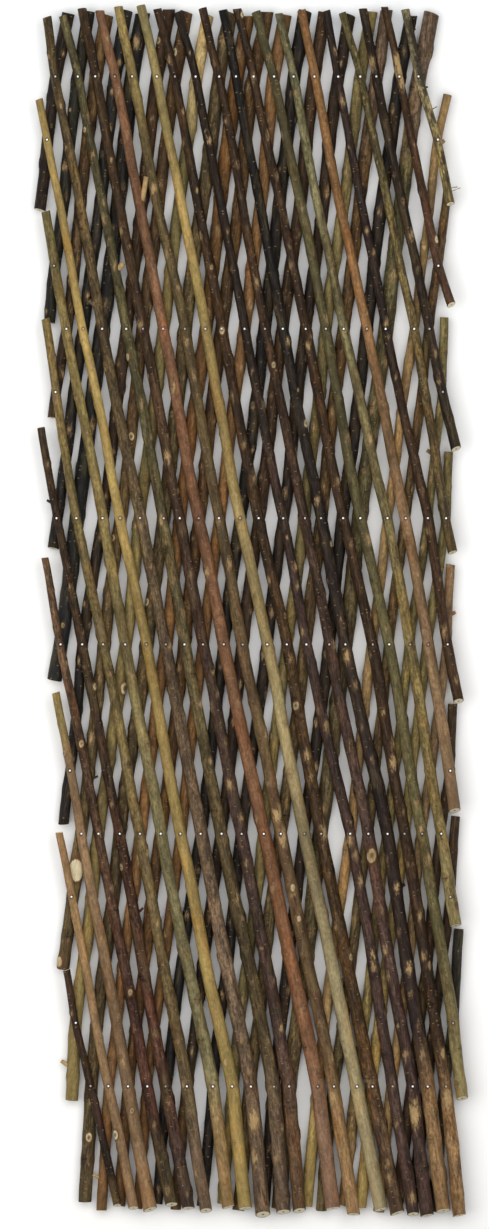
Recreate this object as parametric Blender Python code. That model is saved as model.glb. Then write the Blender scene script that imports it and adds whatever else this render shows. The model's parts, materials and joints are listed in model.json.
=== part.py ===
"""Expandable willow trellis, folded nearly shut as it is stored and sold.

Two layers of willow rods lie one on the other. The back rods lean to the right and the
front rods to the left, and nails pin them together where they cross, so that the whole
lattice opens and shuts like a row of scissors. It lies on its back: X is its width, Y its
length and Z points out of its front. The plane between the two layers carries the joints.
"""

import math
import random

import bmesh
import bpy
from mathutils import Vector

# Lattice, folded as stored, from its top row of nails to its bottom row
LATTICE_LENGTH = 1.12
ROD_CLEARANCE = 0.0059
FRONT_LEAN_SHARE = 0.61
COLUMNS = 19
NAILED_ROWS = (0, 4, 7, 9, 12, 16)
LONG_BAY = 4
LAYER_GAP = 0.0003

# Sawn ends, measured along the length from a rod's outermost nail
TOP_TAIL = 0.072
BOTTOM_TAIL = 0.1355
SIDE_TAIL = 0.074
TAIL_SPLAY = 0.012
CUT_SLANT_SHARE = 0.3

# Rods: two of the back ones are stout from end to end, and the trellis rests on them
STOUT_DIAMETER = 0.0166
CROOK = 0.0016
SIDES = 8

# Nails
SHANK_DIAMETER = 0.0018
HEAD_DIAMETER = 0.0034
HEAD_THICKNESS = 0.0006
HEAD_CLEARANCE = 0.0003
HOLE_CLEARANCE = 0.0003
NAIL_BITE = 0.007
NAIL_SIDES = 6
CUT_OVERRUN = 0.002

# What follows from them: rows are the level lines on which rods cross, and from one row
# to the next a rod rises by one step and leans sideways by a run
LAST_ROW = NAILED_ROWS[-1]
HALF_ROWS = LAST_ROW // 2
ROW_RISE = LATTICE_LENGTH / LAST_ROW
SPACING = STOUT_DIAMETER + ROD_CLEARANCE
FRONT_RUN = FRONT_LEAN_SHARE * SPACING
BACK_RUN = SPACING - FRONT_RUN
RODS = COLUMNS + HALF_ROWS
MIDDLE = RODS // 2
LEFT_EDGE = HALF_ROWS - 1
RIGHT_EDGE = 2 * RODS - HALF_ROWS - 1
FRONT, BACK = "front", "back"
LAYER_SIGN = {FRONT: 1, BACK: -1}

# Sideways shift of each rod from even spacing, as a share of the spacing, left to right
SHIFT_SHARES = {
    FRONT: (
        0.00, -0.05, 0.05, -0.05, -0.12, -0.05, 0.10, 0.02, 0.05,
        0.10, -0.04, 0.02, -0.03, 0.05, -0.02, 0.06, 0.10, 0.00,
        0.00, -0.04, -0.05, 0.00, 0.04, 0.10, 0.00, 0.05, 0.10,
    ),
    BACK: (
        0.10, 0.15, 0.15, 0.05, -0.04, 0.10, 0.06, 0.00, 0.12,
        0.05, -0.08, -0.03, -0.06, -0.08, 0.05, 0.08, -0.03, 0.06,
        -0.05, 0.30, 0.15, 0.20, 0.04, -0.05, -0.10, -0.26, -0.36,
    ),
}

# Thickness at the upper and the lower end, as shares of the stoutest rod, left to right
THICKNESS_SHARES = {
    FRONT: (
        (0.48, 0.56), (0.50, 0.70), (0.52, 0.92), (0.50, 0.85), (0.52, 0.86), (0.55, 0.84),
        (0.60, 0.87), (0.50, 0.92), (0.58, 1.00), (0.54, 0.96), (0.62, 0.88), (0.62, 1.00),
        (0.62, 0.88), (0.60, 0.93), (0.58, 0.93), (0.56, 0.82), (0.54, 0.88), (0.58, 1.00),
        (0.58, 0.88), (0.62, 0.80), (0.54, 0.78), (0.58, 0.80), (0.52, 0.72), (0.50, 0.66),
        (0.58, 0.68), (0.50, 0.60), (0.56, 0.58),
    ),
    BACK: (
        (0.85, 0.78), (0.85, 0.75), (0.90, 0.70), (0.85, 0.75), (1.00, 1.00), (0.85, 0.70),
        (0.85, 0.80), (0.80, 0.85), (0.93, 0.86), (0.95, 0.70), (0.90, 0.75), (0.90, 0.65),
        (0.90, 0.70), (0.88, 0.72), (0.85, 0.72), (0.80, 0.75), (0.85, 0.80), (0.85, 0.75),
        (1.00, 1.00), (0.56, 0.78), (0.60, 0.75), (0.56, 0.75), (0.60, 0.80), (0.60, 0.75),
        (0.60, 0.80), (0.60, 0.80), (0.65, 0.82),
    ),
}

# Each tail from left to right: its length as a share of the tail that it is, and how far
# its end is bent to the right as a share of TAIL_SPLAY
UPPER_TAIL_SHARES = {
    FRONT: (
        (0.79, 0.1), (0.96, 0.0), (1.17, 0.1), (1.30, 0.1), (1.36, 0.2), (1.10, 0.4),
        (0.82, 0.2), (0.61, 0.0), (0.92, 0.3), (0.94, -0.3), (1.05, 0.0), (1.02, -0.2),
        (1.08, 0.0), (1.10, -0.2), (1.05, -0.4), (1.00, -0.5), (1.06, -0.3), (1.03, 0.0),
        (1.05, -0.3), (1.00, -0.5), (0.98, -0.2), (1.03, 0.0), (1.02, 0.1), (0.99, -0.5),
        (1.05, 0.0), (1.08, -0.1), (1.04, 0.0),
    ),
    BACK: (
        (1.00, 0.4), (1.03, 0.2), (0.98, 0.3), (1.04, 0.3), (1.00, 0.2), (1.06, 0.3),
        (1.02, 0.3), (0.97, 0.4), (1.00, 0.3), (0.96, 0.4), (1.02, 0.5), (0.98, 0.3),
        (1.03, 0.3), (1.00, 0.2), (0.97, 0.3), (1.02, 0.3), (1.05, 0.2), (0.96, 0.4),
        (1.00, 0.5), (0.69, 0.4), (1.15, 0.0), (1.13, -0.7), (1.00, -0.5), (1.20, -0.6),
        (1.00, -0.5), (1.20, -0.4), (1.40, -0.5),
    ),
}
LOWER_TAIL_SHARES = {
    FRONT: (
        (0.98, 0.3), (1.00, 0.1), (1.01, -0.2), (0.97, 0.1), (1.00, -0.1), (1.02, -0.5),
        (0.99, -0.75), (1.00, -1.0), (1.05, -1.2), (1.03, -1.4), (1.02, -1.3), (1.00, -0.8),
        (1.05, -0.5), (1.01, 0.0), (1.04, 0.0), (1.05, -0.4), (1.06, -1.0), (1.02, -0.8),
        (1.06, -1.1), (1.13, -0.5), (0.43, 0.0), (0.60, -0.3), (0.85, 0.0), (0.51, 0.0),
        (0.85, 0.2), (0.58, 0.5), (0.96, 0.0),
    ),
    BACK: (
        (1.04, 0.1), (0.85, 0.2), (0.38, 0.0), (0.45, 0.0), (0.54, -0.2), (0.81, 0.0),
        (1.10, 0.0), (1.18, 0.5), (0.96, 0.8), (1.03, 0.8), (0.99, 0.6), (1.01, 0.5),
        (0.97, 0.6), (1.02, 0.4), (1.00, 0.4), (0.98, 0.5), (1.03, 0.3), (1.00, 0.5),
        (1.02, 0.5), (1.00, 0.4), (1.03, 0.3), (0.99, 0.2), (1.01, 0.3), (1.04, 0.2),
        (1.00, 0.0), (1.02, 0.0), (1.04, 0.3),
    ),
}

# Bark colour of each kind of rod, and how rough it is
BARKS = {
    "black": (0.014, 0.012, 0.013, 0.62),
    "black_brown": (0.028, 0.019, 0.016, 0.64),
    "dark_brown": (0.052, 0.032, 0.022, 0.66),
    "purple_brown": (0.036, 0.021, 0.024, 0.58),
    "red_brown": (0.090, 0.038, 0.025, 0.62),
    "chestnut": (0.125, 0.068, 0.034, 0.64),
    "terracotta": (0.215, 0.086, 0.050, 0.52),
    "copper": (0.270, 0.120, 0.050, 0.54),
    "orange_tan": (0.330, 0.180, 0.075, 0.60),
    "tan": (0.250, 0.165, 0.082, 0.62),
    "golden": (0.390, 0.270, 0.095, 0.50),
    "pale_green": (0.370, 0.310, 0.135, 0.48),
    "olive_tan": (0.195, 0.150, 0.070, 0.60),
    "olive_grey": (0.120, 0.102, 0.060, 0.64),
    "grey_brown": (0.095, 0.075, 0.052, 0.68),
}
NAIL_STEEL = (0.62, 0.62, 0.60, 0.32)
ROD_BARKS = {
    FRONT: (
        "black_brown", "orange_tan", "tan", "red_brown", "dark_brown", "olive_tan",
        "olive_grey", "golden", "grey_brown", "olive_grey", "dark_brown", "terracotta",
        "chestnut", "pale_green", "dark_brown", "black_brown", "red_brown", "purple_brown",
        "dark_brown", "olive_tan", "olive_grey", "copper", "purple_brown", "olive_tan",
        "black_brown", "red_brown", "olive_tan",
    ),
    BACK: (
        "black_brown", "black_brown", "dark_brown", "black", "black", "black_brown",
        "chestnut", "golden", "grey_brown", "copper", "chestnut", "copper",
        "black", "dark_brown", "black", "olive_tan", "grey_brown", "black",
        "grey_brown", "orange_tan", "chestnut", "olive_tan", "golden", "orange_tan",
        "dark_brown", "dark_brown", "black_brown",
    ),
}


def clear_scene():
    for obj in list(bpy.data.objects):
        bpy.data.objects.remove(obj)


def make_material(name, colour, metallic):
    red, green, blue, roughness = colour
    material = bpy.data.materials.new(name)
    material.use_nodes = True
    shader = material.node_tree.nodes["Principled BSDF"]
    shader.inputs["Base Color"].default_value = (red, green, blue, 1)
    shader.inputs["Roughness"].default_value = roughness
    shader.inputs["Metallic"].default_value = metallic
    return material


def of_rod(table, layer, number):
    """A rod's entry in a table, which a wider lattice goes through again."""
    return table[layer][number % len(table[layer])]


def crossing_row(front, back):
    return back - front + HALF_ROWS


def is_nailed(front, back):
    """Whether a nail pins this crossing: along the nailed rows, and down both side edges."""
    row = crossing_row(front, back)
    if row in NAILED_ROWS:
        return LEFT_EDGE <= front + back <= RIGHT_EDGE
    return 0 < row < LAST_ROW and front + back in (LEFT_EDGE, RIGHT_EDGE)


def nail_point(front, back):
    """Where a nail crosses the plane between the layers.

    It is the sum of a place set by the front rod and one set by the back rod, so every
    loop of four nails is a parallelogram and the lattice folds without straining.
    """
    shift = of_rod(SHIFT_SHARES, FRONT, front) + of_rod(SHIFT_SHARES, BACK, back)
    across = (back - MIDDLE) * FRONT_RUN + (front - MIDDLE) * BACK_RUN + shift * SPACING
    return Vector((across, (front - back) * ROW_RISE, 0))


def nails_of(layer, number):
    """The crossings nailed along one rod, from its upper end down."""
    pairs = [
        (front, back)
        for front in range(RODS)
        for back in range(RODS)
        if is_nailed(front, back) and number == (front if layer == FRONT else back)
    ]
    return sorted(pairs, key=lambda pair: crossing_row(*pair))


def rod_end(layer, number, pair, upper):
    """The middle of the sawn end that lies beyond a rod's outermost nail."""
    leaves_left = (layer == FRONT) == upper
    on_side = sum(pair) == (LEFT_EDGE if leaves_left else RIGHT_EDGE)
    shares = UPPER_TAIL_SHARES if upper else LOWER_TAIL_SHARES
    length_share, splay_share = of_rod(shares, layer, number)
    longest = TOP_TAIL if upper else BOTTOM_TAIL
    rise = length_share * (SIDE_TAIL if on_side else longest) * (1 if upper else -1)
    lean = -FRONT_RUN if layer == FRONT else BACK_RUN
    across = rise * lean / ROW_RISE + splay_share * TAIL_SPLAY
    return nail_point(*pair) + Vector((across, rise, 0))


def rod_points(layer, number):
    """The bends of a rod's centre line, seen from the front, from its upper end down."""
    pairs = nails_of(layer, number)
    crooks = random.Random(f"{layer} {number}")
    points = [rod_end(layer, number, pairs[0], True), nail_point(*pairs[0])]
    for above, below in zip(pairs, pairs[1:]):
        if crossing_row(*below) - crossing_row(*above) >= LONG_BAY:
            bow = Vector((CROOK * crooks.uniform(-1, 1), 0, 0))
            points.append((nail_point(*above) + nail_point(*below)) / 2 + bow)
        points.append(nail_point(*below))
    return points + [rod_end(layer, number, pairs[-1], False)]


def rod_radius(layer, number, height, points):
    """Half the rod's thickness at a height along it."""
    upper_share, lower_share = of_rod(THICKNESS_SHARES, layer, number)
    along = (points[0].y - height) / (points[0].y - points[-1].y)
    return STOUT_DIAMETER / 2 * (upper_share + (lower_share - upper_share) * along)


def ring(mesh, point, heading, radius, layer, slant):
    """One eight-sided ring of a rod, with a flat that just clears the other layer."""
    side = Vector((-heading.y, heading.x, 0))
    centre = point + Vector((0, 0, LAYER_SIGN[layer] * (LAYER_GAP / 2 + radius)))
    corner = radius / math.cos(math.pi / SIDES)
    made = []
    for step in range(SIDES):
        angle = (step + 0.5) * math.tau / SIDES - LAYER_SIGN[layer] * math.pi / 2
        rise = corner * math.sin(angle)
        place = centre + side * corner * math.cos(angle) + Vector((0, 0, rise))
        made.append(mesh.verts.new(place - heading * slant * rise))
    return made


def join_rings(mesh, rings):
    """Walls between neighbouring rings, and a flat cap at each end."""
    for lower, upper in zip(rings, rings[1:]):
        count = len(lower)
        for step in range(count):
            beside = (step + 1) % count
            mesh.faces.new((lower[step], lower[beside], upper[beside], upper[step]))
    mesh.faces.new(reversed(rings[0]))
    mesh.faces.new(rings[-1])


def finish_mesh(mesh, name):
    bmesh.ops.recalc_face_normals(mesh, faces=mesh.faces)
    data = bpy.data.meshes.new(name)
    mesh.to_mesh(data)
    mesh.free()
    data.shade_smooth()
    data.set_sharp_from_angle(angle=math.radians(50))
    return data


def rod_mesh(layer, number, origin):
    points = rod_points(layer, number)
    mesh = bmesh.new()
    rings = []
    for index, point in enumerate(points):
        before = points[max(index - 1, 0)]
        after = points[min(index + 1, len(points) - 1)]
        radius = rod_radius(layer, number, point.y, points)
        last_of_front = layer == FRONT and index == len(points) - 1
        slant = CUT_SLANT_SHARE if last_of_front else 0
        heading = (after - before).normalized()
        rings.append(ring(mesh, point - origin, heading, radius, layer, slant))
    join_rings(mesh, rings)
    return finish_mesh(mesh, f"{layer}_rod_{number + 1:02d}")


def turned_shape(mesh, centre, profile):
    """A many-sided shape turned about an upright axis, from (radius, height) pairs."""
    rings = []
    for radius, height in profile:
        made = []
        for step in range(NAIL_SIDES):
            angle = step * math.tau / NAIL_SIDES
            spoke = Vector((math.cos(angle), math.sin(angle), 0)) * radius
            made.append(mesh.verts.new(centre + spoke + Vector((0, 0, height))))
        rings.append(made)
    join_rings(mesh, rings)


def thickness_at(layer, number, pair):
    points = rod_points(layer, number)
    return 2 * rod_radius(layer, number, nail_point(*pair).y, points)


def nail_profile(pair):
    """A nail's outline from its tip, inside the back rod, to the top of its head."""
    seat = LAYER_GAP / 2 + thickness_at(FRONT, pair[0], pair) + HEAD_CLEARANCE
    shank = SHANK_DIAMETER / 2
    head = HEAD_DIAMETER / 2
    return (
        (shank, -NAIL_BITE),
        (shank, seat),
        (head, seat),
        (head, seat + HEAD_THICKNESS),
    )


def hole_profile(bottom, top):
    """A hole whose flats clear the nail's corners all the way round."""
    radius = (SHANK_DIAMETER / 2 + HOLE_CLEARANCE) / math.cos(math.pi / NAIL_SIDES)
    return ((radius, bottom), (radius, top))


def helper(name, profiles, origin):
    """A hidden object that holds one turned shape at each of the given crossings."""
    mesh = bmesh.new()
    for pair, profile in profiles.items():
        turned_shape(mesh, nail_point(*pair) - origin, profile)
    obj = bpy.data.objects.new(name, finish_mesh(mesh, name))
    bpy.context.scene.collection.objects.link(obj)
    obj.hide_render = True
    obj.display_type = "WIRE"
    return obj


def add_boolean(obj, tool, operation):
    tool.parent = obj
    modifier = obj.modifiers.new(tool.name, "BOOLEAN")
    modifier.operation = operation
    modifier.solver = "EXACT"
    modifier.object = tool


def drill_holes(rod, layer, pairs, origin):
    """Nail holes right through a rod."""
    reach = STOUT_DIAMETER + CUT_OVERRUN
    low, high = (-CUT_OVERRUN, reach) if layer == FRONT else (-reach, CUT_OVERRUN)
    holes = {pair: hole_profile(low, high) for pair in pairs}
    add_boolean(rod, helper(f"{rod.name}_holes", holes, origin), "DIFFERENCE")


def drive_nails(rod, pairs, origin):
    """Nails that are held fast in a back rod and stand up through the front rods."""
    nails = {pair: nail_profile(pair) for pair in pairs}
    add_boolean(rod, helper(f"{rod.name}_nails", nails, origin), "UNION")


def loose_nail(number, pair, material):
    """One of the middle back rod's nails, which are pieces of their own."""
    mesh = bmesh.new()
    turned_shape(mesh, Vector(), nail_profile(pair))
    name = f"pivot_nail_{number}"
    nail = bpy.data.objects.new(name, finish_mesh(mesh, name))
    nail.data.materials.append(material)
    nail.location = nail_point(*pair)
    bpy.context.scene.collection.objects.link(nail)
    return nail


def pivot_tree():
    """Which rod each rod swings on, and at which nail, outwards from the middle back rod.

    Every other nail closes a loop of the lattice, and its hole leaves it room to turn.
    """
    carrier = {(BACK, MIDDLE): None}
    reached = [(BACK, MIDDLE)]
    for rod in reached:
        for pair in nails_of(*rod):
            other = (FRONT, pair[0]) if rod[0] == BACK else (BACK, pair[1])
            if other not in carrier:
                carrier[other] = (rod, pair)
                reached.append(other)
    return carrier


def make_rod(layer, number, origin, materials):
    name = f"{layer}_rod_{number + 1:02d}"
    rod = bpy.data.objects.new(name, rod_mesh(layer, number, origin))
    rod.data.materials.append(materials[of_rod(ROD_BARKS, layer, number)])
    bpy.context.scene.collection.objects.link(rod)
    pairs = nails_of(layer, number)
    if layer == FRONT or number == MIDDLE:
        drill_holes(rod, layer, pairs, origin)
    else:
        drive_nails(rod, pairs, origin)
    return rod


def seat_on_floor(rods, origins):
    """Puts the middle of the lattice's outline over the world's origin, resting on the floor."""
    corners = [
        origins[key] + corner.co for key, rod in rods.items() for corner in rod.data.vertices
    ]
    low = Vector(map(min, zip(*corners)))
    high = Vector(map(max, zip(*corners)))
    middle = (low + high) / 2
    height = LAYER_GAP / 2 + STOUT_DIAMETER
    rods[BACK, MIDDLE].location = Vector((-middle.x, -middle.y, height))


def main():
    clear_scene()
    materials = {name: make_material(f"bark_{name}", BARKS[name], 0) for name in BARKS}
    steel = make_material("nail_steel", NAIL_STEEL, 1)
    carrier = pivot_tree()
    origins = {(BACK, MIDDLE): Vector()}
    rods = {}
    for (layer, number), held in carrier.items():
        if held:
            origins[layer, number] = nail_point(*held[1])
        origin = origins[layer, number]
        rod = make_rod(layer, number, origin, materials)
        rods[layer, number] = rod
        if held:
            rod.parent = rods[held[0]]
            rod.location = origin - origins[held[0]]
    for index, pair in enumerate(nails_of(BACK, MIDDLE)):
        loose_nail(index + 1, pair, steel).parent = rods[BACK, MIDDLE]
    seat_on_floor(rods, origins)


main()
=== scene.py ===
# %% [markdown]
# # An expandable willow trellis
# The trellis is a scissor lattice: 27 willow rods lean to the left in front, 27 lean to the right
# behind them, and wire nails hold them where they cross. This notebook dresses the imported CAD
# model, which already has the right sizes and hinges, with rods that look like cut willow.
# The first step loads that model. It is a fixed frame: nothing in it is moved or changed.

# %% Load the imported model
import functools
import json
import math
import random

import bpy
import numpy as np
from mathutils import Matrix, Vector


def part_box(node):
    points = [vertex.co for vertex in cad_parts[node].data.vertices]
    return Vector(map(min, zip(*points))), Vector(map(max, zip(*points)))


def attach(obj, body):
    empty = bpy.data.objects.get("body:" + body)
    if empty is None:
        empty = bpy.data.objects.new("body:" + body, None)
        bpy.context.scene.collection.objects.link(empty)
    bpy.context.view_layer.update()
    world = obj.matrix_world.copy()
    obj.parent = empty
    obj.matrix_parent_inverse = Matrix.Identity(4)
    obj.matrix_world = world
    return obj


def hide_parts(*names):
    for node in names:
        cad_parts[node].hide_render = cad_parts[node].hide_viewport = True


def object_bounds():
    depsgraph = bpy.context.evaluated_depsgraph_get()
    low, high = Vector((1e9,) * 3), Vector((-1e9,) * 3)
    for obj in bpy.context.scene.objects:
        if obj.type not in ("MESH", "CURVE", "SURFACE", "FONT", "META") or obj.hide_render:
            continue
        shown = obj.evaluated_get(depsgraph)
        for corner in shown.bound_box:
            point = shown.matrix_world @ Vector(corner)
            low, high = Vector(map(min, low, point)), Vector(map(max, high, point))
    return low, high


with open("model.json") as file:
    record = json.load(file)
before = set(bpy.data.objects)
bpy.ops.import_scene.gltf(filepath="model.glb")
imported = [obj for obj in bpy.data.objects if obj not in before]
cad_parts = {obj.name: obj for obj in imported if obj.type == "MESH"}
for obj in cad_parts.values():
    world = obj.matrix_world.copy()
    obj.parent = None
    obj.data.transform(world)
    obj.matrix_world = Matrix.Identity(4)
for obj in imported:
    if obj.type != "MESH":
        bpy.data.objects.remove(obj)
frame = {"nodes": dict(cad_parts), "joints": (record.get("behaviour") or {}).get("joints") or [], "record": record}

NODES, RECORD = frame["nodes"], frame["record"]
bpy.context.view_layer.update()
RODS = sorted(name for name in NODES if "_rod_" in name)
SIDE = {name: 1 if name.startswith("front") else -1 for name in RODS}

# %% [markdown]
# ## Where the two layers meet
# On the real trellis the front rods rest on the back rods, and only the nails pass from one
# layer to the other. Each CAD rod has a flat that shows where that is. The rods made here are
# round, and they are kept on their own side of that level, so that the scissor can still turn.

# %% Find the level between the layers
MM = 0.001
lowest_front = min(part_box(name)[0].z for name in RODS if SIDE[name] > 0)
MIDDLE_LEVEL = frame["joints"][0]["pos_m"][2]
LAYER_ROOM = lowest_front - MIDDLE_LEVEL
print("the layers meet at", round(MIDDLE_LEVEL / MM, 2), "mm, each", round(LAYER_ROOM / MM, 2), "mm clear")

# %% [markdown]
# ## Reading a rod
# A rod's thickness is read at its two sawn ends, where the CAD solid has one ring of corners.
# Its bends are read with a caliper: at every height the solid's edges are cut by a level line,
# and the middle between the outermost cuts is the middle of the rod. This way the looks follow
# the CAD part wherever it bends, and no size is typed in twice.

# %% A caliper for the CAD rods
STATION = 2 * MM
END_REACH = 6.5 * MM


def corners_and_edges(name):
    """A rod's corners and edges, without the nails that stand out of it."""
    mesh = NODES[name].data
    corners = np.array([v.co for v in mesh.vertices], float)
    edges = corners[np.array([e.vertices for e in mesh.edges])]
    if SIDE[name] < 0:
        edges = edges[(edges[:, :, 2] < MIDDLE_LEVEL).all(axis=1)]
        corners = corners[corners[:, 2] < MIDDLE_LEVEL]
    return corners, edges


def sawn_end(corners, upper):
    """The middle of one sawn end and the rod's radius there."""
    reach = corners[:, 1].max() - corners[:, 1] if upper else corners[:, 1] - corners[:, 1].min()
    ring = np.unique(np.round(corners[reach < END_REACH], 6), axis=0)
    return ring.mean(axis=0), np.ptp(ring[:, 2]) / 2


def middle_at(edges, height):
    """How far across the rod's middle is at a height."""
    below, above = edges[:, 0], edges[:, 1]
    cut = (below[:, 1] - height) * (above[:, 1] - height) < 0
    below, above = below[cut], above[cut]
    share = (height - below[:, 1]) / (above[:, 1] - below[:, 1])
    across = below[:, 0] + share * (above[:, 0] - below[:, 0])
    return (across.min() + across.max()) / 2


def measure(name):
    """A rod's stations from its upper end down: height, place across and radius."""
    corners, edges = corners_and_edges(name)
    (top, top_radius), (foot, foot_radius) = (sawn_end(corners, upper) for upper in (True, False))
    count = int((top[1] - foot[1]) / STATION) + 2
    heights = np.linspace(top[1], foot[1], count)
    inside = (heights < top[1] - END_REACH) & (heights > foot[1] + END_REACH)
    across = [middle_at(edges, height) for height in heights[inside]]
    known = np.concatenate([[top[1]], heights[inside], [foot[1]]])
    places = np.concatenate([[top[0]], across, [foot[0]]])
    across = np.interp(-heights, -known, places)
    return {"height": heights, "across": across, "radius": np.linspace(top_radius, foot_radius, count)}


measured = {name: measure(name) for name in RODS}
radii = np.concatenate([rod["radius"] for rod in measured.values()])
print("the rods are", round(radii.min() * 2 / MM, 1), "to", round(radii.max() * 2 / MM, 1), "mm thick")

# %% [markdown]
# ## Living wood is never straight
# The CAD rods have sharp bends at their nails. Willow bends softly, and it is a little crooked
# everywhere. So each middle line is smoothed, and a few long and short waves are added. A wave may
# only use a share of the room to the next rod, because rods of one layer may touch but not cross.

# %% Smooth and crook the middle lines
# In stations: how far bends are smoothed, how far waves fade in, and how far a tight place counts
SMOOTHING, FADE, NEARBY = 7, 20, 12
# Length in metres and strength
WAVES = ((0.31, 1.0), (0.17, 0.5), (0.075, 0.2))
WAVE_SHARE = 0.55
MOST_CROOK = 1.1 * MM
ROOM_SHARE = 0.28
SPARE = 1.02


def smooth(values, reach):
    """A moving average that keeps both ends where they are."""
    start = 2 * values[0] - values[reach:0:-1]
    end = 2 * values[-1] - values[-2:-reach - 2:-1]
    padded = np.concatenate([start, values, end])
    return np.convolve(padded, np.ones(2 * reach + 1) / (2 * reach + 1), "valid")


def room_beside(name):
    """The least room to the rods left and right of this one, at each station."""
    layer, _, number = name.split("_")
    rod = measured[name]
    room = np.full(len(rod["height"]), 1.0)
    for step in (-1, 1):
        other = measured.get(f"{layer}_rod_{int(number) + step:02d}")
        if other is None:
            continue
        beside = (rod["height"] < other["height"][0]) & (rod["height"] > other["height"][-1])
        place = np.interp(-rod["height"], -other["height"], other["across"])
        radius = np.interp(-rod["height"], -other["height"], other["radius"])
        gap = np.abs(place - rod["across"]) - (radius + rod["radius"]) * SPARE
        room[beside] = np.minimum(room, gap)[beside]
    least = np.array([room[max(0, i - NEARBY):i + NEARBY + 1].min() for i in range(len(room))])
    return np.clip(least, 0, None)


def crooked(name):
    """The rod's middle line with soft bends and small waves."""
    rod = measured[name]
    draws = random.Random(name + " crook")
    wave = np.zeros(len(rod["height"]))
    for length, strength in WAVES:
        phase, stretch = draws.uniform(0, math.tau), draws.uniform(0.8, 1.25)
        wave += strength * np.sin(rod["height"] * math.tau / (length * stretch) + phase)
    strength = smooth(np.minimum(MOST_CROOK, ROOM_SHARE * room_beside(name)), FADE)
    steps = np.arange(len(wave))
    fade = np.minimum(1, np.minimum(steps, steps[::-1]) / FADE)
    return smooth(rod["across"], SMOOTHING) + WAVE_SHARE * wave * strength * fade


lines = {name: crooked(name) for name in RODS}
print("largest crook", round(max(np.abs(lines[n] - measured[n]["across"]).max() for n in RODS) / MM, 2), "mm")

# %% [markdown]
# ## Where the nails are
# Each nail is fast in its back rod, so its head stands above the level between the layers in that
# back rod's CAD node. The middle back rod's nails are nodes of their own. The corners of the heads
# give the nails' places, and the marks that the nails leave in the bark use them as well.

# %% Find the nails
HEADS_ABOVE = 4 * MM
BETWEEN_HEADS = 8 * MM
NAIL_NODES = sorted(name for name in NODES if name.startswith("pivot_nail"))
ROOT = next(body for body, nodes in RECORD["behaviour"]["bodies"].items() if NAIL_NODES[0] in nodes)


def nail_places(nodes):
    """The place of every nail head in these nodes."""
    corners = np.array([v.co for node in nodes for v in NODES[node].data.vertices], float)
    heads = corners[corners[:, 2] > MIDDLE_LEVEL + HEADS_ABOVE]
    heads = heads[np.argsort(heads[:, 1])]
    groups = np.split(heads, np.nonzero(np.diff(heads[:, 1]) > BETWEEN_HEADS)[0] + 1)
    return [tuple((g[:, axis].min() + g[:, axis].max()) / 2 for axis in (0, 1)) for g in groups]


nails = {name: nail_places(NAIL_NODES if name == ROOT else [name]) for name in RODS if SIDE[name] < 0}
print(sum(len(places) for places in nails.values()), "nails in", len(nails), "back rods")

# %% [markdown]
# ## The colours of willow bark
# The rods were cut from several kinds of willow, and no two look the same: golden, olive, copper,
# red-brown, nearly black. Every rod gets a tone for its upper end, one for its lower end and one
# for its patches, picked from a small palette, and says how mottled, streaked and peeling it is.

# %% Palette and the finish of each rod
TONES = {
    "black": "16120e", "blue black": "191a19", "olive black": "201d13", "black brown": "22170e",
    "dark brown": "372514", "brown": "50391e", "chestnut": "604222", "dark red": "482b20",
    "red brown": "573a28", "purple brown": "2b1d18", "grey brown": "55462b", "olive grey": "554d30",
    "grey green": "746c4b", "olive": "6e613a", "olive tan": "7f6d40", "tan": "8c7048", "orange tan": "7d6347",
    "copper": "7e5a35", "golden": "9c834c", "pale green": "8c7e5d", "straw": "c0a873", "honey": "bc9d6a",
    "cream": "d6caa6", "fawn": "a98d63", "ivory": "e6dcc0", "khaki": "85774d", "dust": "6d5844",
    "amber": "90704b", "warm brown": "5c442f", "plum brown": "4a362e", "clay": "7a5d48", "rust": "744f35",
    "red clay": "725038",
}
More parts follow.
